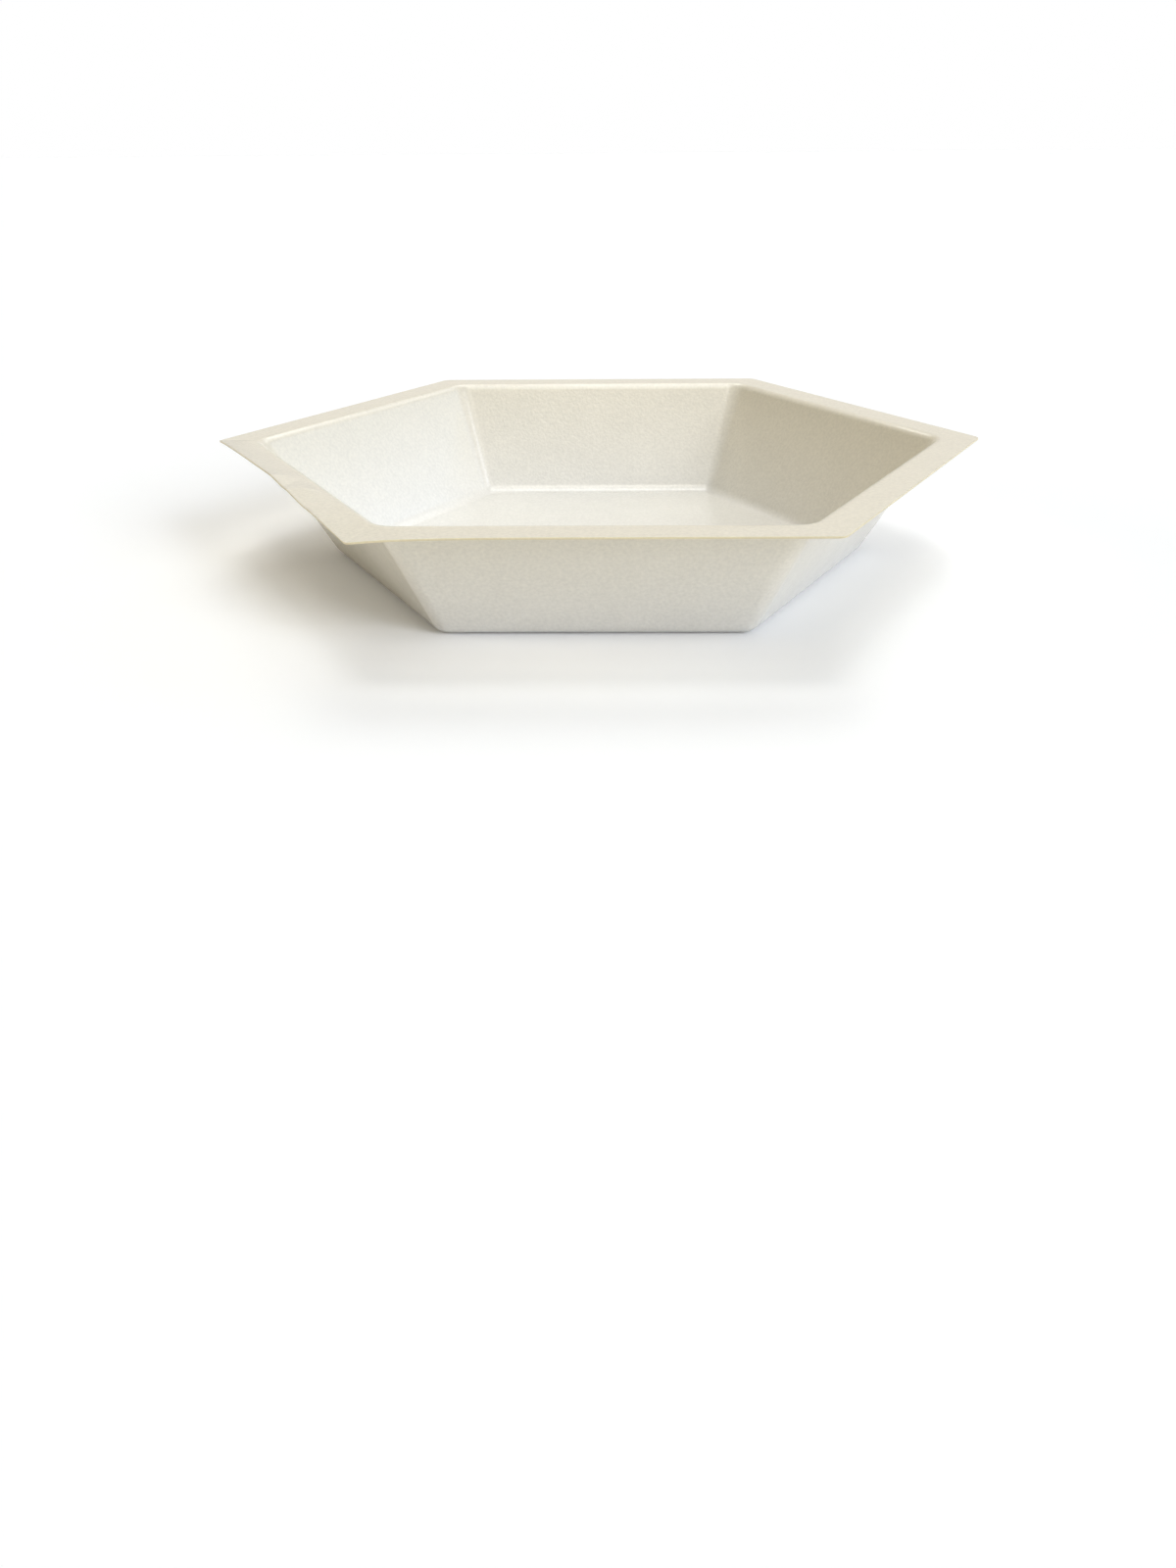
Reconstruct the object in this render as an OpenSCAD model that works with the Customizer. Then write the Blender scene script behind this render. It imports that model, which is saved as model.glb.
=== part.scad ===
// Hexagonal weighing boat, drawn from one thin sheet of polystyrene.
//
// The boat is a single shell of even thickness. A profile runs from the edge of the flat
// floor, over the floor fillet, up the drafted wall, over the rolled mouth and out to the
// cut edge of the rim. Each station of that profile carries a six-sided ring with round
// corners, and the shell is lofted through the rings: first along the top of the sheet,
// then back along its underside. The flat of the floor closes each end of the loft.
//
// Lengths are in millimetres. The boat stands on z = 0, centred on the z axis, with two
// of its six corners on the x axis. Widths across flats are those of the inside, at the
// sharp line where two faces would meet without their fillet.

/* [Floor] */
// Width of the floor across its flats
floor_flats = 92.5; // [80:0.5:104]
// Fillet between the floor and the walls
floor_fillet_r = 3; // [1:0.1:4]
// Radius of the upright corners where they reach the floor
floor_corner_r = 2.6; // [1:0.1:8]

/* [Walls] */
// Overall height, from the underside of the floor to the top of the rim
boat_h = 23.2; // [12:0.2:36]
// Thickness of the sheet
sheet_t = 0.36; // [0.2:0.02:0.8]

/* [Mouth] */
// Width of the mouth across its flats
mouth_flats = 117; // [108:0.5:140]
// Roll between the walls and the rim, over the top of the sheet
roll_r = 2; // [1:0.1:3]
// Radius of the upright corners where they reach the mouth
mouth_corner_r = 4.4; // [1:0.1:10]

/* [Rim] */
// Width of the flat rim, from the mouth to the cut edge
rim_w = 6.9; // [4:0.1:12]
// Radius of the corners of the cut edge
rim_corner_r = 1.8; // [0.2:0.1:4]

/* [Bent rim] */
// Height that the rim's cut edge is lifted to at the crease
crease_lift = 1.3; // [0:0.05:3]
// Place of the crease along the cut edge, from the corner on -x
crease_at = 37.3; // [20:0.1:50]
// How much nearer to that corner the crease meets the mouth
crease_slant = 1; // [0:0.5:8]
// Depth below the rim that the cut edge droops to beyond the crease
corner_droop = 0.8; // [0:0.05:2]
// Length along the cut edge in which it falls from the crease to the droop
fall_l = 30.5; // [10:0.5:37]
// Length along the front edge in which the drooped corner comes level
level_fade_l = 7.5; // [3:0.5:15]

/* [Hidden] */

SIDES = 6;
SIDE_TURN = 360 / SIDES;
HALF_TURN = SIDE_TURN / 2;
// Flat pieces that make up the turn of one corner, and the bend of one fillet or roll
CORNER_STEPS = 8;
BEND_STEPS = 6;
// The side with the crease, counted from +x, and the side that its drooped corner leads to
CREASED_SIDE = 3;
LEVELLED_SIDE = 4;
// Flat pieces of those two sides' rim beyond the crease and beyond the drooped corner
DROOP_STEPS = 6;
LEVEL_STEPS = 8;
// A fillet wider than its corner leaves this radius at the corner
LEAST_CORNER_R = 0.2;

// Distances from the axis to the middle of a side
floor_a = floor_flats / 2;
mouth_a = mouth_flats / 2;
rim_a = mouth_a + rim_w;
rim_side = 2 * rim_a * tan(HALF_TURN);

// Steepness of the walls above the level
wall_angle = atan2(boat_h - sheet_t, mouth_a - floor_a);

// How far the fillet and the roll reach from the line where their two faces would meet
fillet_reach = floor_fillet_r * tan(wall_angle / 2);
roll_reach = roll_r * tan(wall_angle / 2);
wall_foot_a = floor_a + fillet_reach * cos(wall_angle);
wall_head_a = mouth_a - roll_reach * cos(wall_angle);

// A station is a place on the profile of the sheet: its distance from the axis, its
// height, the radius of its corners, the slope of the sheet there, and how far it takes
// part in the bend of the rim, from 0 at the mouth to 1 at the cut edge.
function station(a, z, corner_r, slope, bent = 0) =
    [a, z, max(corner_r, LEAST_CORNER_R), slope, bent];
function apothem(s) = s[0];
function height(s) = s[1];
function corner_r(s) = s[2];
function slope(s) = s[3];
function bent(s) = s[4];

// The wall's corners are cones, so their radius grows evenly from floor to mouth
function wall_corner_r(a) =
    floor_corner_r + (mouth_corner_r - floor_corner_r) * (a - floor_a) / (mouth_a - floor_a);

// Fillet and roll stations, by the slope they have turned to
function fillet_station(turned) =
    let (a = floor_a - fillet_reach + floor_fillet_r * sin(turned))
    station(a,
            sheet_t + floor_fillet_r * (1 - cos(turned)),
            wall_corner_r(wall_foot_a) + a - wall_foot_a,
            turned);
function roll_station(turned) =
    let (a = mouth_a + roll_reach - roll_r * sin(turned))
    station(a,
            boat_h - roll_r * (1 - cos(turned)),
            wall_corner_r(wall_head_a) + a - wall_head_a,
            turned);

// The same place on the underside, one thickness square to the sheet
function under(s) =
    station(apothem(s) + sheet_t * sin(slope(s)),
            height(s) - sheet_t * cos(slope(s)),
            corner_r(s) + sheet_t * sin(slope(s)),
            slope(s),
            bent(s));

top_stations = [
    for (i = [0:BEND_STEPS]) fillet_station(wall_angle * i / BEND_STEPS),
    for (i = [BEND_STEPS:-1:0]) roll_station(wall_angle * i / BEND_STEPS),
    station(rim_a, boat_h, rim_corner_r, 0, 1)
];
under_stations = [for (i = [len(top_stations) - 1:-1:0]) under(top_stations[i])];
stations = concat(top_stations, under_stations);

// Where the crease crosses a station's ring, as a share of the side
function crease_share(s) = (crease_at - crease_slant * (1 - bent(s))) / rim_side;

// Height that the bend gives to the cut edge, by side and length along it
function creased_edge_z(l, crease_l) =
    l < crease_l
        ? crease_lift * l / crease_l
        : (crease_lift + corner_droop) * (1 - sin(90 * min(1, (l - crease_l) / fall_l)))
          - corner_droop;
function edge_z(side, l, crease_l) =
    side == CREASED_SIDE ? creased_edge_z(l, crease_l)
    : side == LEVELLED_SIDE ? creased_edge_z(rim_side, crease_l) * exp(-l / level_fade_l)
    : 0;

// Height that the bend gives to the point of a station's ring in a given direction
function bend_z(s, direction) =
    let (turned = (direction + 360) % 360,
         side = floor(turned / SIDE_TURN),
         off_middle = turned - SIDE_TURN * side - HALF_TURN,
         share = 0.5 + tan(off_middle) / tan(HALF_TURN) / 2)
    bent(s) * edge_z(side, share * rim_side, crease_share(s) * rim_side);

// A point of a round corner, by its turn from the corner's own direction
function corner_point(s, corner, turn) =
    let (direction = SIDE_TURN * corner,
         centre_r = (apothem(s) - corner_r(s)) / cos(HALF_TURN))
    centre_r * [cos(direction), sin(direction)]
    + corner_r(s) * [cos(direction + turn), sin(direction + turn)];

// Shares of a straight side at which the ring has more points, to follow the bend
function side_shares(s, side) =
    side == CREASED_SIDE
        ? [for (i = [0:DROOP_STEPS - 1])
            crease_share(s) + (1 - crease_share(s)) * i / DROOP_STEPS]
    : side == LEVELLED_SIDE
        ? [for (i = [1:LEVEL_STEPS - 1]) pow(i / LEVEL_STEPS, 2)]
    : [];
function side_points(s, side) =
    let (from = corner_point(s, side, HALF_TURN),
         to = corner_point(s, side + 1, -HALF_TURN))
    [for (share = side_shares(s, side)) from + share * (to - from)];

// One station's ring, corner by corner, lifted to its height and bent
function outline(s) = [
    for (side = [0:SIDES - 1])
        each concat(
            [for (i = [0:CORNER_STEPS])
                corner_point(s, side, HALF_TURN * (2 * i / CORNER_STEPS - 1))],
            side_points(s, side))
];
function ring(s) = [
    for (p = outline(s)) [p.x, p.y, height(s) + bend_z(s, atan2(p.y, p.x))]
];

// A closed skin lofted through rings of equally many points, with the first and the last
// ring flat and closed
module skin(rings) {
    count = len(rings[0]);
    last = len(rings) - 1;
    strips = [
        for (r = [0:last - 1], i = [0:count - 1])
            let (a = r * count, b = a + count, next = (i + 1) % count)
            each [[a + i, a + next, b + next], [a + i, b + next, b + i]]
    ];
    ends = [[for (i = [count - 1:-1:0]) i], [for (i = [0:count - 1]) last * count + i]];
    polyhedron(points = [for (r = rings) each r], faces = concat(strips, ends), convexity = 4);
}

module weighing_boat() {
    color("ivory")
        skin([for (s = stations) ring(s)]);
}

weighing_boat();
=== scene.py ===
"""Looks of a hexagonal weighing boat, drawn from one thin sheet of cream-white polystyrene.

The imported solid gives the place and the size. A Geometry Nodes tree lofts the same profile
through six-sided rings, finely enough for the fillet and the roll to shine as clean lines,
and the sheet then gets its thickness and its cut edge. The finish is satin polystyrene.

Sizes are in metres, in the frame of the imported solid: the boat stands on z = 0.
"""

import logging
import math
from dataclasses import dataclass, field
from enum import Enum
from typing import Any

import bpy
from mathutils import Euler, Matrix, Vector


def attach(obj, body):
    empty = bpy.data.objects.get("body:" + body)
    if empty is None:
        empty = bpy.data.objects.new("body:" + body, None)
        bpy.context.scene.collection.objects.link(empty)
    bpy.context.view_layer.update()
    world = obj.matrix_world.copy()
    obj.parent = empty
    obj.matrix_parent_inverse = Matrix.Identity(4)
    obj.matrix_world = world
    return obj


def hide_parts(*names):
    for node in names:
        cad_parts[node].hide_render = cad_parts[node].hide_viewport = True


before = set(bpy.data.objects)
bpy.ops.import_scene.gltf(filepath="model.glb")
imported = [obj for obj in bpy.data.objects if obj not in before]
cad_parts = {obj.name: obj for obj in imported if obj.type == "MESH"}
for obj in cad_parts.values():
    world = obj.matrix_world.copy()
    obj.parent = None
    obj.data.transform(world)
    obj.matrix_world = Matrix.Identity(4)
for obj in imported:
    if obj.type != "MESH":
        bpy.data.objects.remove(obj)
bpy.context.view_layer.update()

MM = 0.001
SIDES = 6
SIDE_TURN = 2 * math.pi / SIDES
HALF_TURN = SIDE_TURN / 2
WHITE = (1.0, 1.0, 1.0, 1.0)
INDEX_TOLERANCE = 0.5
BOAT_NODE = "weighing_boat"

log = logging.getLogger("weighing_boat")


def linear(red: float, green: float, blue: float) -> tuple[float, float, float, float]:
    """A colour as a shader wants it.

    Args:
        red: Display red, 0 to 255.
        green: Display green, 0 to 255.
        blue: Display blue, 0 to 255.

    Returns:
        The linear colour, with alpha 1.
    """
    def channel(value: float) -> float:
        """One channel made linear."""
        share = value / 255
        return share / 12.92 if share <= 0.04045 else ((share + 0.055) / 1.055) ** 2.4

    return channel(red), channel(green), channel(blue), 1.0


class Wire:
    """A number that flows through a node tree, written like a Python number."""

    def __init__(self, graph: "Graph", socket: bpy.types.NodeSocket) -> None:
        """Wraps an output socket of one of the graph's nodes."""
        self.graph = graph
        self.socket = socket

    def math(self, operation: str, *others: Any, clamp: bool = False) -> "Wire":
        """This number put through one Math node.

        Args:
            operation: The Math node's operation.
            others: Its other inputs, numbers or wires.
            clamp: Whether the result is held between 0 and 1.

        Returns:
            The result.
        """
        return self.graph.math(operation, self, *others, clamp=clamp)

    def __add__(self, other: Any) -> "Wire":
        """The sum."""
        return self.math("ADD", other)

    def __radd__(self, other: Any) -> "Wire":
        """The sum, with this number second."""
        return self.graph.math("ADD", other, self)

    def __sub__(self, other: Any) -> "Wire":
        """The difference."""
        return self.math("SUBTRACT", other)

    def __rsub__(self, other: Any) -> "Wire":
        """The difference, with this number taken away."""
        return self.graph.math("SUBTRACT", other, self)

    def __mul__(self, other: Any) -> "Wire":
        """The product."""
        return self.math("MULTIPLY", other)

    def __rmul__(self, other: Any) -> "Wire":
        """The product, with this number second."""
        return self.graph.math("MULTIPLY", other, self)

    def __truediv__(self, other: Any) -> "Wire":
        """The quotient."""
        return self.math("DIVIDE", other)

    def __rtruediv__(self, other: Any) -> "Wire":
        """The quotient, with this number below."""
        return self.graph.math("DIVIDE", other, self)

    def __mod__(self, other: Any) -> "Wire":
        """The remainder of a positive number."""
        return self.math("MODULO", other)

    def __neg__(self) -> "Wire":
        """The number with its sign turned."""
        return self.math("MULTIPLY", -1.0)

    def held(self) -> "Wire":
        """The number held between 0 and 1."""
        return self.math("ADD", 0.0, clamp=True)

    def eased(self) -> "Wire":
        """A share from 0 to 1 that starts and ends slowly."""
        return self * self * (3 - 2 * self)

    def is_index(self, index: int) -> "Wire":
        """1 where this whole number is that one, 0 elsewhere."""
        return self.math("COMPARE", index, INDEX_TOLERANCE)


class Graph:
    """Builds the nodes of one tree, for a shader or for geometry."""

    def __init__(self, tree: bpy.types.NodeTree) -> None:
        """Starts on an empty tree."""
        self.tree = tree
        self.tree.nodes.clear()

    def add(
        self,
        kind: str,
        settings: dict[str, Any] | None = None,
        values: dict[Any, Any] | None = None,
    ) -> bpy.types.Node:
        """Adds one node.

        Args:
            kind: The node's type.
            settings: Its own settings, set before its sockets are.
            values: For each input, by name or number, a value, a wire or a socket.

        Returns:
            The node.
        """
        node = self.tree.nodes.new(kind)
        for name, value in (settings or {}).items():
            setattr(node, name, value)
        for key, value in (values or {}).items():
            self.join(node.inputs[key], value)
        return node

    def join(self, target: bpy.types.NodeSocket, value: Any) -> None:
        """Links a wire or a socket to an input, or sets the input's value.

        Args:
            target: The input.
            value: A wire, a socket, or what the input is set to.
        """
        if isinstance(value, Wire):
            value = value.socket
        if isinstance(value, bpy.types.NodeSocket):
            self.tree.links.new(value, target)
        else:
            target.default_value = value

    def math(self, operation: str, *values: Any, clamp: bool = False) -> Wire:
        """One Math node on numbers or wires.

        Args:
            operation: The node's operation.
            values: Its inputs, in order.
            clamp: Whether the result is held between 0 and 1.

        Returns:
            The result.
        """
        node = self.add(
            "ShaderNodeMath",
            {"operation": operation, "use_clamp": clamp},
            dict(enumerate(values)),
        )
        return Wire(self, node.outputs[0])

    def sin(self, angle: Any) -> Wire:
        """The sine."""
        return self.math("SINE", angle)

    def cos(self, angle: Any) -> Wire:
        """The cosine."""
        return self.math("COSINE", angle)

    def tan(self, angle: Any) -> Wire:
        """The tangent."""
        return self.math("TANGENT", angle)


@dataclass
class Viewpoint:
    """The camera: where it stands, where it looks and how wide. Its angles are in radians."""

    place: Vector = field(default_factory=lambda: Vector((1.76, -239.30, 76.26)) * MM)
    look_down: float = 0.5014
    turned_left: float = 0.01735
    roll: float = -0.00827
    lens_mm: float = 27.216
    film_mm: float = 36.0
    nearest: float = 1 * MM

    def build(self) -> bpy.types.Object:
        """Makes the camera the scene's own.

        Returns:
            The camera.
        """
        data = bpy.data.cameras.new("viewpoint")
        data.sensor_fit = "VERTICAL"
        data.sensor_height = self.film_mm
        data.lens = self.lens_mm
        data.clip_start = self.nearest
        camera = bpy.data.objects.new("viewpoint", data)
        camera.location = self.place
        tilt = Euler((math.pi / 2 - self.look_down, 0, self.turned_left)).to_quaternion()
        camera.rotation_mode = "QUATERNION"
        camera.rotation_quaternion = tilt @ Euler((0, 0, self.roll)).to_quaternion()
        bpy.context.scene.collection.objects.link(camera)
        bpy.context.scene.camera = camera
        return camera


@dataclass(frozen=True)
class SheetFinish:
    """Satin polystyrene sheet with a fine grain.

    It is cream along the rim and whiter towards the floor. The cut edge, which begins at
    cut_from as a share of the rim, shows the yellower core.
    """

    rim_cream: tuple[float, float, float, float] = linear(236, 229, 211)
    floor_cream: tuple[float, float, float, float] = linear(236, 233, 225)
    cut_cream: tuple[float, float, float, float] = linear(226, 213, 176)
    cut_from: float = 0.997
    drawn_h: float = 23.2 * MM
    refraction: float = 1.59
    roughness: float = 0.2
    roughness_swing: float = 0.05
    cloud_size: float = 7 * MM
    cloud_detail: float = 3.0
    cloud_tone: float = 0.06
    grain_size: float = 0.6 * MM
    grain_detail: float = 2.0
    grain_tone: float = 0.22
    grain_depth: float = 0.031 * MM
    wave_size: float = 2.5 * MM
    wave_detail: float = 2.0
    wave_depth: float = 0.02 * MM

    def noise(self, graph: Graph, place: Any, size: float, detail: float) -> Wire:
        """An even noise about zero.

        Args:
            graph: The material's builder.
            place: Where the noise is read.
            size: The width of one swing.
            detail: How many finer swings lie on it.

        Returns:
            The noise, from about -0.5 to 0.5.
        """
        node = graph.add(
            "ShaderNodeTexNoise",
            {"noise_dimensions": "3D"},
            {"Vector": place, "Scale": 1 / size, "Detail": detail},
        )
        return Wire(graph, node.outputs[0]) - 0.5

    def blend(self, graph: Graph, share: Wire, start: Any, end: Any) -> Any:
        """A colour between two others.

        Args:
            graph: The material's builder.
            share: How much of the end colour it has.
            start: The colour where the share is 0.
            end: The colour where the share is 1.

        Returns:
            The colour's socket.
        """
        node = graph.add(
            "ShaderNodeMix",
            {"data_type": "RGBA"},
            {"Factor": share, "A": start, "B": end},
        )
        return node.outputs["Result"]

    def build(self) -> bpy.types.Material:
        """Makes the material.

        Returns:
            The material.
        """
        material = bpy.data.materials.new("satin_polystyrene")
        material.use_nodes = True
        graph = Graph(material.node_tree)
        place = graph.add("ShaderNodeTexCoord").outputs["Object"]
        height = graph.add("ShaderNodeSeparateXYZ", values={"Vector": place}).outputs["Z"]
        reach = graph.add("ShaderNodeAttribute", {"attribute_name": "rim_reach"}).outputs["Fac"]
        clouds = self.noise(graph, place, self.cloud_size, self.cloud_detail)
        waves = self.noise(graph, place, self.wave_size, self.wave_detail)
        grain = self.noise(graph, place, self.grain_size, self.grain_detail)

        # The sheet's colour goes from cream along the rim to whiter towards the floor
        floor_share = (1 - Wire(graph, height) / self.drawn_h).held()
        sheet = self.blend(graph, floor_share, self.rim_cream, self.floor_cream)
        cut = ((Wire(graph, reach) - self.cut_from) / (1 - self.cut_from)).held()
        core = self.blend(graph, cut, sheet, self.cut_cream)
        tone = 1 + clouds * self.cloud_tone + grain * self.grain_tone
        colour = graph.add(
            "ShaderNodeVectorMath", {"operation": "SCALE"}, {"Vector": core, "Scale": tone}
        )
        # The height is in metres already, so it is neither weakened nor scaled
        bump = graph.add(
            "ShaderNodeBump",
            values={
                "Strength": 1.0,
                "Distance": 1.0,
                "Height": grain * self.grain_depth + waves * self.wave_depth,
            },
        )
        surface = graph.add(
            "ShaderNodeBsdfPrincipled",
            values={
                "Base Color": colour.outputs[0],
                "Roughness": self.roughness + clouds * self.roughness_swing,
                "IOR": self.refraction,
                "Normal": bump.outputs["Normal"],
            },
        )
        graph.add("ShaderNodeOutputMaterial", values={"Surface": surface.outputs["BSDF"]})
        return material


@dataclass
class BoatShell:
    """The boat: one sheet, lofted through six-sided rings with round corners.

    Widths across flats are those of the inside, where two faces would meet without their
    fillet. The creased side is bent: its cut edge rises to a crease and falls to a drooped
    corner, which comes level along the next side. Beside the crease lies a small buckle,
    with a valley, a second fold and an end. A slant is how far such a line shifts along the
    side between the mouth and the cut edge.
    """

    floor_flats: float = 92.5 * MM
    floor_fillet_r: float = 3 * MM
    floor_corner_r: float = 2.6 * MM
    mouth_flats: float = 117 * MM
    roll_r: float = 2 * MM
    mouth_corner_r: float = 4.4 * MM
    rim_w: float = 6.9 * MM
    rim_corner_r: float = 1.8 * MM
    boat_h: float = 23.2 * MM
    sheet_t: float = 0.36 * MM
    crease_lift: float = 1.3 * MM
    crease_at: float = 37.3 * MM
    crease_slant: float = 1.7 * MM
    crease_softness: float = 0.01 * MM
    corner_droop: float = 0.8 * MM
    level_fade_l: float = 7.5 * MM
    valley_slant: float = 6.8 * MM
    valley_fall: float = 0.023
    fold_at: float = 48.2 * MM
    fold_slant: float = 2 * MM
    fold_rise: float = 0.07
    end_at: float = 49.8 * MM
    end_slant: float = 5.5 * MM
    end_depth: float = 0.25 * MM
    end_fade_l: float = 3 * MM
    buckle_seat: float = 0.55
    least_corner_r: float = 0.2 * MM
    sewing_gap: float = 0.001 * MM
    cut_softness: float = 0.05 * MM
    cut_steps: int = 2
    cut_angle: float = 50.0

    floor_rows: int = 8
    fillet_rows: int = 14
    wall_rows: int = 22
    roll_rows: int = 14
    rim_rows: int = 12
    corner_columns: int = 14
    side_columns: tuple[int, ...] = (14, 10, 10, 10, 16)
    creased_side: int = 3
    levelled_side: int = 4

    def size_inputs(self) -> dict[str, float]:
        """The sizes that the node tree takes.

        Returns:
            Each size, by the name of its input.
        """
        return {
            "Floor across flats": self.floor_flats,
            "Floor fillet radius": self.floor_fillet_r,
            "Floor corner radius": self.floor_corner_r,
            "Mouth across flats": self.mouth_flats,
            "Roll radius": self.roll_r,
            "Mouth corner radius": self.mouth_corner_r,
            "Rim width": self.rim_w,
            "Rim corner radius": self.rim_corner_r,
            "Height": self.boat_h,
            "Sheet thickness": self.sheet_t,
            "Crease lift": self.crease_lift,
            "Crease place": self.crease_at,
            "Crease slant": self.crease_slant,
            "Crease softness": self.crease_softness,
            "Corner droop": self.corner_droop,
            "Level fade": self.level_fade_l,
            "Valley slant": self.valley_slant,
            "Valley fall": self.valley_fall,
            "Fold place": self.fold_at,
            "Fold slant": self.fold_slant,
            "Fold rise": self.fold_rise,
            "End place": self.end_at,
            "End slant": self.end_slant,
            "End depth": self.end_depth,
            "End fade": self.end_fade_l,
            "Buckle seat": self.buckle_seat,
        }

    def tree(self, material: bpy.types.Material) -> bpy.types.NodeTree:
        """Builds the node tree that lofts the top face of the sheet.

        Args:
            material: Not used; the tree sets the finish given to its Finish input.

        Returns:
            The tree.
        """
        tree = bpy.data.node_groups.new("hexagonal_loft", "GeometryNodeTree")
        sockets = tree.interface
        sockets.new_socket("Geometry", in_out="OUTPUT", socket_type="NodeSocketGeometry")
        for name in self.size_inputs():
            sockets.new_socket(name, in_out="INPUT", socket_type="NodeSocketFloat")
        sockets.new_socket("Finish", in_out="INPUT", socket_type="NodeSocketMaterial")
        graph = Graph(tree)
        given = graph.add("NodeGroupInput")
        size = {name: Wire(graph, given.outputs[name]) for name in self.size_inputs()}

        rows = (
            self.floor_rows + self.fillet_rows + self.wall_rows + self.roll_rows + self.rim_rows
        )
        columns = SIDES * (self.corner_columns + sum(self.side_columns))
        grid = graph.add(
            "GeometryNodeMeshGrid",
            values={"Vertices X": rows + 1, "Vertices Y": columns + 1},
        )
        index = Wire(graph, graph.add("GeometryNodeInputIndex").outputs[0])
        row = (index / (columns + 1)).math("FLOOR")
        column = index - row * (columns + 1)

        profile = self.profile(graph, size, row)
        x, y = self.ring_point(graph, size, profile, column)
        z = profile["height"] + self.bend(graph, size, profile, x, y)
        place = graph.add("ShaderNodeCombineXYZ", values={0: x, 1: y, 2: z})
        lofted = graph.add(
            "GeometryNodeSetPosition",
            values={"Geometry": grid.outputs["Mesh"], "Position": place.outputs[0]},
        )
        reach = graph.add(
            "GeometryNodeStoreNamedAttribute",
            {"data_type": "FLOAT", "domain": "POINT"},
            {
                "Geometry": lofted.outputs[0],
                "Name": "rim_reach",
                "Value": profile["rim"],
            },
        )
        sewn = graph.add(
            "GeometryNodeMergeByDistance",
            values={"Geometry": reach.outputs[0], "Distance": self.sewing_gap},
        )
        smooth = graph.add(
            "GeometryNodeSetShadeSmooth",
            values={"Geometry": sewn.outputs[0], "Shade Smooth": True},
        )
        real = graph.add("GeometryNodeRealizeInstances", values={0: smooth.outputs[0]})
        finished = graph.add(
            "GeometryNodeSetMaterial",
            values={"Geometry": real.outputs[0], "Material": given.outputs["Finish"]},
        )
        graph.add("NodeGroupOutput", values={0: finished.outputs[0]})
        return tree

    def profile(self, graph: Graph, size: dict[str, Wire], row: Wire) -> dict[str, Wire]:
        """Works out the profile of the sheet, from the middle of the floor to the cut edge.

        Args:
            graph: The tree's builder.
            size: The tree's named inputs.
            row: The row of each point, 0 in the middle of the floor.

        Returns:
            The distance from the axis to the middle of a side, the height, the radius of
            the corners, and the share of the rim that is crossed.
        """
        rise = size["Height"] - size["Sheet thickness"]
        floor_a = size["Floor across flats"] / 2
        mouth_a = size["Mouth across flats"] / 2
        run = mouth_a - floor_a
        slope = graph.math("ARCTAN2", rise, run)
        fillet_r = size["Floor fillet radius"]
        roll_r = size["Roll radius"]
        fillet_reach = fillet_r * graph.tan(slope / 2)
        roll_reach = roll_r * graph.tan(slope / 2)

        shares = []
        first = 0
        for count in (
            self.floor_rows,
            self.fillet_rows,
            self.wall_rows,
            self.roll_rows,
            self.rim_rows,
        ):
            shares.append(((row - first) / count).held())
            first += count
        floor, fillet, wall, roll, rim = shares
        floor = 1 - (1 - floor) * (1 - floor)
        wall = wall.eased()
        rim = rim.eased()

        turned_in = graph.sin(slope * fillet)
        turned_out = graph.sin(slope) - graph.sin(slope * (1 - roll))
        bend_share = graph.cos(slope)
        wall_share = 1 - (fillet_reach + roll_reach) * bend_share / run
        apothem = (
            (floor_a - fillet_reach) * floor
            + fillet_r * turned_in
            + run * wall_share * wall
            + roll_r * turned_out
            + (size["Rim width"] - roll_reach) * rim
        )
        height = (
            size["Sheet thickness"]
            + fillet_r * (1 - graph.cos(slope * fillet))
            + (rise - (fillet_r + roll_r) * (1 - bend_share)) * wall
            + roll_r * (graph.cos(slope * (1 - roll)) - bend_share)
        )
        corner_growth = (size["Mouth corner radius"] - size["Floor corner radius"]) / run
        foot_r = size["Floor corner radius"] + corner_growth * fillet_reach * bend_share
        head_r = size["Mouth corner radius"] - corner_growth * roll_reach * bend_share
        rim_r = head_r + roll_r * graph.sin(slope)
        corner_r = (
            (foot_r - fillet_r * graph.sin(slope)).math("MAXIMUM", self.least_corner_r) * floor
            + fillet_r * turned_in
            + (head_r - foot_r) * wall
            + roll_r * turned_out
            + (size["Rim corner radius"] - rim_r) * rim
        )
        return {"apothem": apothem, "height": height, "corner_r": corner_r, "rim": rim}

    def ring_point(
        self, graph: Graph, size: dict[str, Wire], profile: dict[str, Wire], column: Wire
    ) -> tuple[Wire, Wire]:
        """Works out where a column of points crosses its ring.

        Args:
            graph: The tree's builder.
            size: The tree's named inputs.
            profile: What profile() gives.
            column: The column of each point, 0 where the corner on +x begins.

        Returns:
            The point's x and y.
        """
        per_side = self.corner_columns + sum(self.side_columns)
        side = (column / per_side).math("FLOOR")
        step = column - side * per_side
        turn = (step / self.corner_columns).held()
        rim_side = self.rim_side(size)
        places = [0.0, *self.bend_places(size, profile["rim"]), rim_side]
        first = self.corner_columns
        passed = 0.0
        for begin, end, count in zip(places, places[1:], self.side_columns):
            passed = (end - begin) * ((step - first) / count).held().eased() + passed
            first += count
        along = passed / rim_side

        corner_r = profile["corner_r"]
        straight = profile["apothem"] - corner_r
        centre_r = straight / math.cos(HALF_TURN)
        length = 2 * math.tan(HALF_TURN) * straight * along
        facing = side * SIDE_TURN
        swung = facing - HALF_TURN + turn * SIDE_TURN
        onward = facing + 2 * SIDE_TURN
        x = centre_r * graph.cos(facing) + corner_r * graph.cos(swung) + length * graph.cos(onward)
        y = centre_r * graph.sin(facing) + corner_r * graph.sin(swung) + length * graph.sin(onward)
        return x, y

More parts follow.
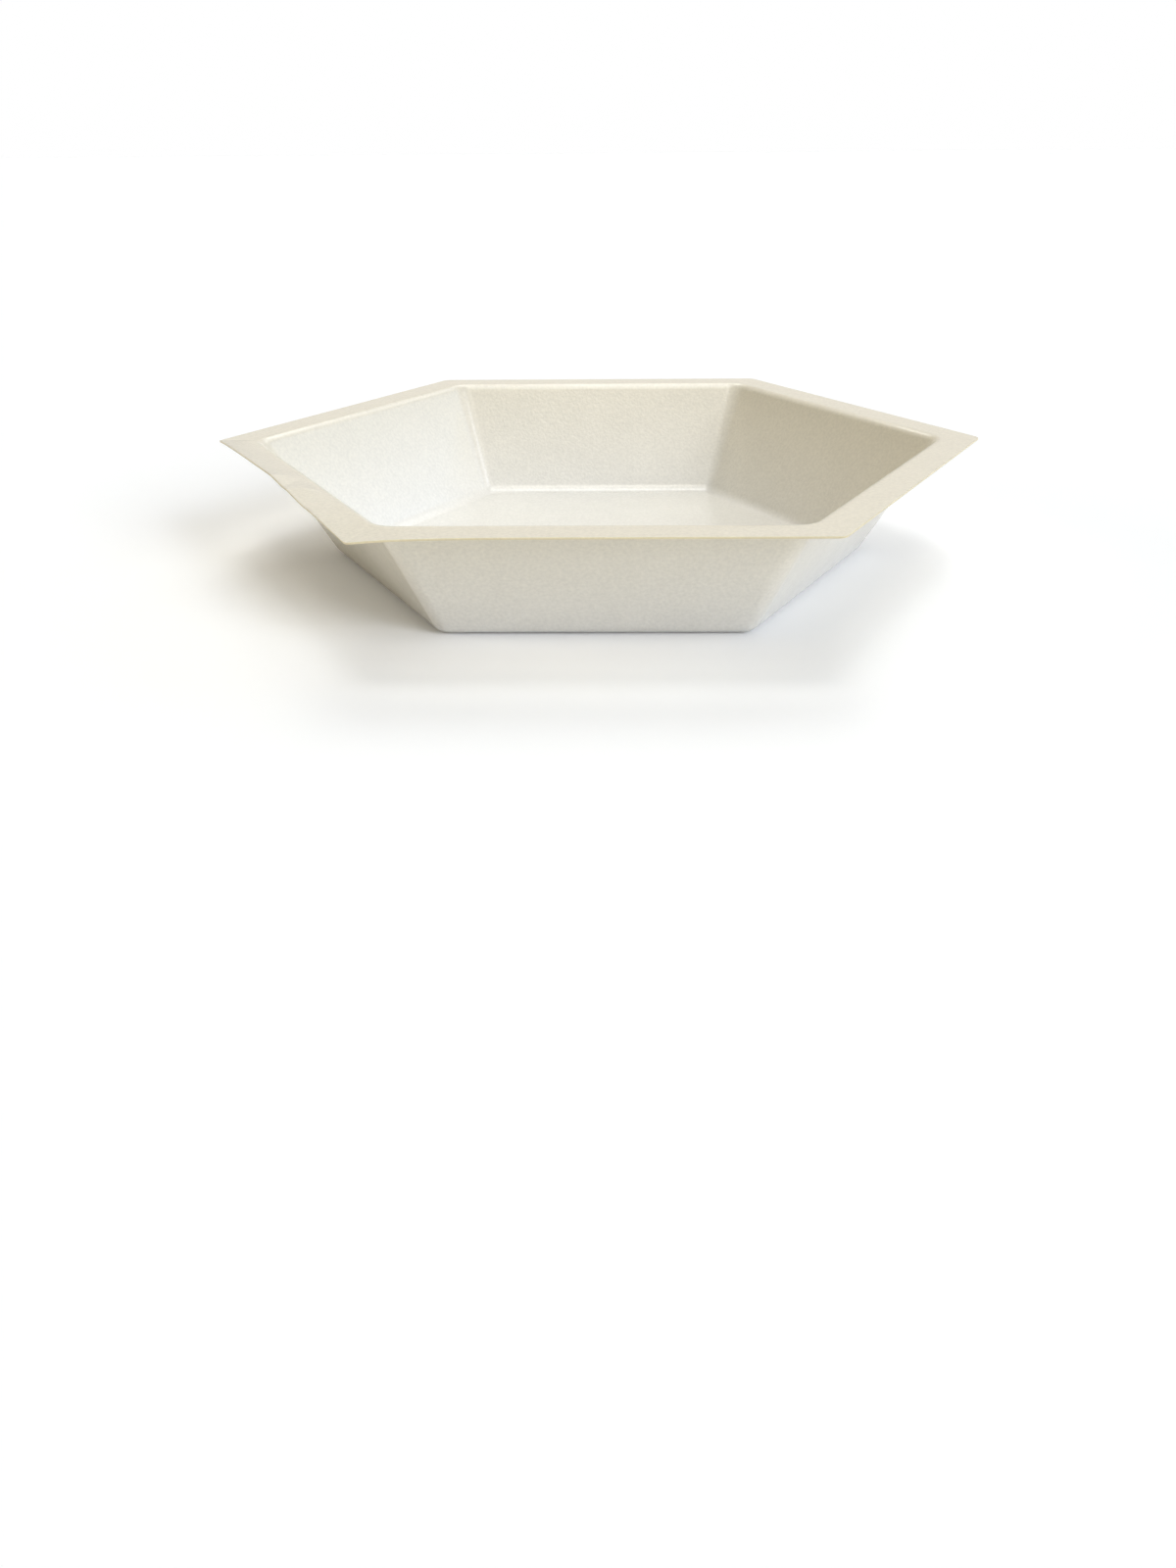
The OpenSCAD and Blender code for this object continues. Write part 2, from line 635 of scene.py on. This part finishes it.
    def rim_side(self, size: dict[str, Wire]) -> Wire:
        """How long one side of the cut edge is, from corner to corner."""
        return (size["Mouth across flats"] + 2 * size["Rim width"]) * math.tan(HALF_TURN)

    def bend_places(self, size: dict[str, Wire], rim: Wire) -> tuple[Wire, ...]:
        """Works out where the lines of the bent rim cross a ring, as lengths along the side.

        Args:
            size: The tree's named inputs.
            rim: The share of the rim that is crossed.

        Returns:
            The places of the crease, of the valley beyond it, of the second fold, and of
            the buckle's end.
        """
        crease = size["Crease place"] - size["Crease slant"] * (1 - rim)
        valley = crease + size["Valley slant"] * rim.math("SQRT")
        fold = size["Fold place"] - size["Fold slant"] * rim
        end = size["End place"] + size["End slant"] * rim
        return crease, valley, fold, end

    def bend(
        self, graph: Graph, size: dict[str, Wire], profile: dict[str, Wire], x: Wire, y: Wire
    ) -> Wire:
        """Works out the height that the bent rim adds.

        Args:
            graph: The tree's builder.
            size: The tree's named inputs.
            profile: What profile() gives.
            x: The point's x.
            y: The point's y.

        Returns:
            The height to add.
        """
        full_turn = SIDES * SIDE_TURN
        direction = (graph.math("ARCTAN2", y, x) + full_turn) % full_turn
        side = (direction / SIDE_TURN).math("FLOOR")
        off_middle = direction - side * SIDE_TURN - HALF_TURN
        share = 0.5 + graph.tan(off_middle) / (2 * math.tan(HALF_TURN))
        rim_side = self.rim_side(size)
        length = share * rim_side
        rim = profile["rim"]
        places = self.bend_places(size, rim)
        crease = places[0]
        lift = size["Crease lift"]
        droop = size["Corner droop"]

        rising = lift * (length / crease).math("SQRT")
        falling = lift - (lift + droop) * ((length - crease) / (rim_side - crease)).held()
        creased = rising.math("SMOOTH_MIN", falling, size["Crease softness"])
        levelled = droop * (-length / size["Level fade"]).math("EXPONENT")
        bent = side.is_index(self.creased_side) * (
            rim * creased + self.buckle(size, rim, length, places)
        )
        return bent - side.is_index(self.levelled_side) * levelled * rim

    def buckle(
        self, size: dict[str, Wire], rim: Wire, length: Wire, places: tuple[Wire, ...]
    ) -> Wire:
        """Works out the small buckle that lies beside the crease.

        The sheet falls from the crease to a slanting valley, rises from there to a second
        fold, falls again to a second slanting valley, and comes level beyond it.

        Args:
            size: The tree's named inputs.
            rim: The share of the rim that is crossed.
            length: The length along the side.
            places: What bend_places() gives.

        Returns:
            The height to add.
        """
        crease, valley, fold, end = places
        valley_z = (crease - valley) * size["Valley fall"]
        fold_z = valley_z + (fold - valley) * size["Fold rise"]
        end_z = -rim * size["End depth"]
        first_fall = ((length - crease) / (valley - crease)).held()
        rise = ((length - valley) / (fold - valley)).held()
        second_fall = ((length - fold) / (end - fold)).held()
        height = (
            valley_z * first_fall + (fold_z - valley_z) * rise + (end_z - fold_z) * second_fall
        )
        past = (length - end).math("MAXIMUM", 0.0)
        fade = (-past / size["End fade"]).math("EXPONENT")
        return height * fade * (rim / size["Buckle seat"]).held().eased()

    def build(self, finish: SheetFinish) -> bpy.types.Object:
        """Makes the boat as one plain mesh.

        Args:
            finish: The sheet's finish.

        Returns:
            The boat.
        """
        material = finish.build()
        tree = self.tree(material)
        mesh = bpy.data.meshes.new("boat_sheet")
        boat = bpy.data.objects.new("boat_sheet", mesh)
        bpy.context.scene.collection.objects.link(boat)
        loft = boat.modifiers.new("loft", "NODES")
        loft.node_group = tree
        given = {item.name: item.identifier for item in tree.interface.items_tree}
        for name, value in self.size_inputs().items():
            loft[given[name]] = value
        loft[given["Finish"]] = material
        wall = boat.modifiers.new("sheet", "SOLIDIFY")
        wall.thickness = self.sheet_t
        wall.offset = -1
        wall.use_even_offset = True
        cut = boat.modifiers.new("cut_edge", "BEVEL")
        cut.width = self.cut_softness
        cut.segments = self.cut_steps
        cut.limit_method = "ANGLE"
        cut.angle_limit = math.radians(self.cut_angle)
        cut.harden_normals = False

        graph = bpy.context.evaluated_depsgraph_get()
        final = bpy.data.meshes.new_from_object(
            boat.evaluated_get(graph), preserve_all_data_layers=True, depsgraph=graph
        )
        boat.modifiers.clear()
        boat.data = final
        final.name = "boat_sheet"
        return boat


class LampPlace(Enum):
    """Where a lamp of the studio stands, seen from the camera."""

    OVERHEAD = "overhead"
    HIGH_FRONT = "high_front"
    FRONT = "front"
    FRONT_RIGHT = "front_right"
    LOW_FRONT_RIGHT = "low_front_right"
    RIGHT = "right"
    BACK_RIGHT = "back_right"
    HIGH_BACK = "high_back"
    BACK = "back"
    LEFT = "left"


@dataclass(frozen=True)
class Lamp:
    """One soft lamp, far enough away to light the whole floor evenly.

    Its light is what it gives a surface square to it, where 1 shows white as white.
    Angles are in degrees, and its azimuth is counted from +x towards +y.
    """

    place: LampPlace
    azimuth: float
    elevation: float
    spread: float
    light: tuple[float, float, float]

    def build(self) -> bpy.types.Object:
        """Makes the lamp.

        Returns:
            The lamp.
        """
        data = bpy.data.lights.new(self.place.value, "SUN")
        data.angle = math.radians(self.spread)
        data.energy = math.pi
        data.color = self.light
        lamp = bpy.data.objects.new(self.place.value, data)
        azimuth = math.radians(self.azimuth)
        elevation = math.radians(self.elevation)
        towards = Vector(
            (
                math.cos(elevation) * math.cos(azimuth),
                math.cos(elevation) * math.sin(azimuth),
                math.sin(elevation),
            )
        )
        lamp.rotation_mode = "QUATERNION"
        lamp.rotation_quaternion = towards.to_track_quat("Z", "Y")
        bpy.context.scene.collection.objects.link(lamp)
        return lamp


@dataclass
class Studio:
    """A white floor and backdrop, and soft lamps all round.

    What is glossy mirrors the backdrop in full below backdrop_full and not at all above
    backdrop_end, which are in degrees above the level.
    """

    floor_half: float = 6.0
    floor_glow: float = 0.07
    floor_colour: tuple[float, float, float, float] = linear(250, 250, 250)
    backdrop: tuple[float, float, float, float] = (0.374, 0.371, 0.369, 1.0)
    backdrop_full: float = 10.0
    backdrop_end: float = 30.0
    lamps: tuple[Lamp, ...] = (
        Lamp(LampPlace.OVERHEAD, 90, 84, 20, (0.206, 0.208, 0.204)),
        Lamp(LampPlace.HIGH_FRONT, 270, 74, 20, (0.104, 0.106, 0.099)),
        Lamp(LampPlace.FRONT, 270, 56, 16, (0.127, 0.119, 0.106)),
        Lamp(LampPlace.FRONT_RIGHT, 315, 38, 16, (0.133, 0.144, 0.163)),
        Lamp(LampPlace.LOW_FRONT_RIGHT, 315, 24, 24, (0.405, 0.419, 0.445)),
        Lamp(LampPlace.RIGHT, 15, 24, 30, (0.043, 0.061, 0.092)),
        Lamp(LampPlace.BACK_RIGHT, 60, 38, 30, (0.059, 0.063, 0.070)),
        Lamp(LampPlace.HIGH_BACK, 90, 50, 24, (0.175, 0.178, 0.176)),
        Lamp(LampPlace.BACK, 90, 38, 70, (0.154, 0.139, 0.120)),
        Lamp(LampPlace.LEFT, 180, 16, 24, (0.153, 0.135, 0.098)),
    )

    def build(self) -> None:
        """Makes the floor, the sky and the lamps."""
        self.build_floor()
        self.build_sky()
        for lamp in self.lamps:
            lamp.build()
        bpy.context.scene.view_settings.view_transform = "Standard"

    def build_floor(self) -> None:
        """Makes the floor, which isn't part of the boat."""
        half = self.floor_half
        mesh = bpy.data.meshes.new("studio_floor")
        corners = [(-half, -half, 0), (half, -half, 0), (half, half, 0), (-half, half, 0)]
        mesh.from_pydata(corners, [], [(0, 1, 2, 3)])
        floor = bpy.data.objects.new("studio_floor", mesh)
        bpy.context.scene.collection.objects.link(floor)
        material = bpy.data.materials.new("floor_paint")
        material.use_nodes = True
        graph = Graph(material.node_tree)
        paint = graph.add("ShaderNodeBsdfDiffuse", values={"Color": self.floor_colour})
        path = graph.add("ShaderNodeLightPath")
        seen = Wire(graph, path.outputs["Is Camera Ray"])
        glow = graph.add("ShaderNodeEmission", values={"Strength": seen * self.floor_glow})
        surface = graph.add(
            "ShaderNodeAddShader", values={0: paint.outputs[0], 1: glow.outputs[0]}
        )
        graph.add("ShaderNodeOutputMaterial", values={"Surface": surface.outputs[0]})
        mesh.materials.append(material)

    def build_sky(self) -> None:
        """Makes the sky: seen as white, and as a backdrop in what is glossy."""
        world = bpy.data.worlds.new("studio_sky")
        world.use_nodes = True
        graph = Graph(world.node_tree)
        path = graph.add("ShaderNodeLightPath")
        seen = Wire(graph, path.outputs["Is Camera Ray"])
        mirrored = Wire(graph, path.outputs["Is Glossy Ray"])
        direction = graph.add("ShaderNodeTexCoord").outputs["Generated"]
        height = graph.add("ShaderNodeSeparateXYZ", values={"Vector": direction})
        band = graph.add(
            "ShaderNodeMapRange",
            {"interpolation_type": "SMOOTHSTEP"},
            {
                "Value": height.outputs["Z"],
                "From Min": math.sin(math.radians(self.backdrop_full)),
                "From Max": math.sin(math.radians(self.backdrop_end)),
                "To Min": 1.0,
                "To Max": 0.0,
            },
        )
        colour = graph.add(
            "ShaderNodeMix",
            {"data_type": "RGBA"},
            {"Factor": mirrored, "A": WHITE, "B": self.backdrop},
        )
        strength = seen + mirrored * Wire(graph, band.outputs["Result"])
        sky = graph.add(
            "ShaderNodeBackground",
            values={"Color": colour.outputs["Result"], "Strength": strength},
        )
        graph.add("ShaderNodeOutputWorld", values={"Surface": sky.outputs[0]})
        bpy.context.scene.world = world


def main() -> None:
    """Builds the studio and the boat, and reports each piece."""
    logging.basicConfig(level=logging.INFO, format="%(name)s: %(message)s")
    Viewpoint().build()
    Studio().build()
    boat = BoatShell().build(SheetFinish())
    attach(boat, "root")
    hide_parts(BOAT_NODE)
    log.info("%s: %d faces", boat.name, len(boat.data.polygons))


if __name__ == "__main__":
    main()
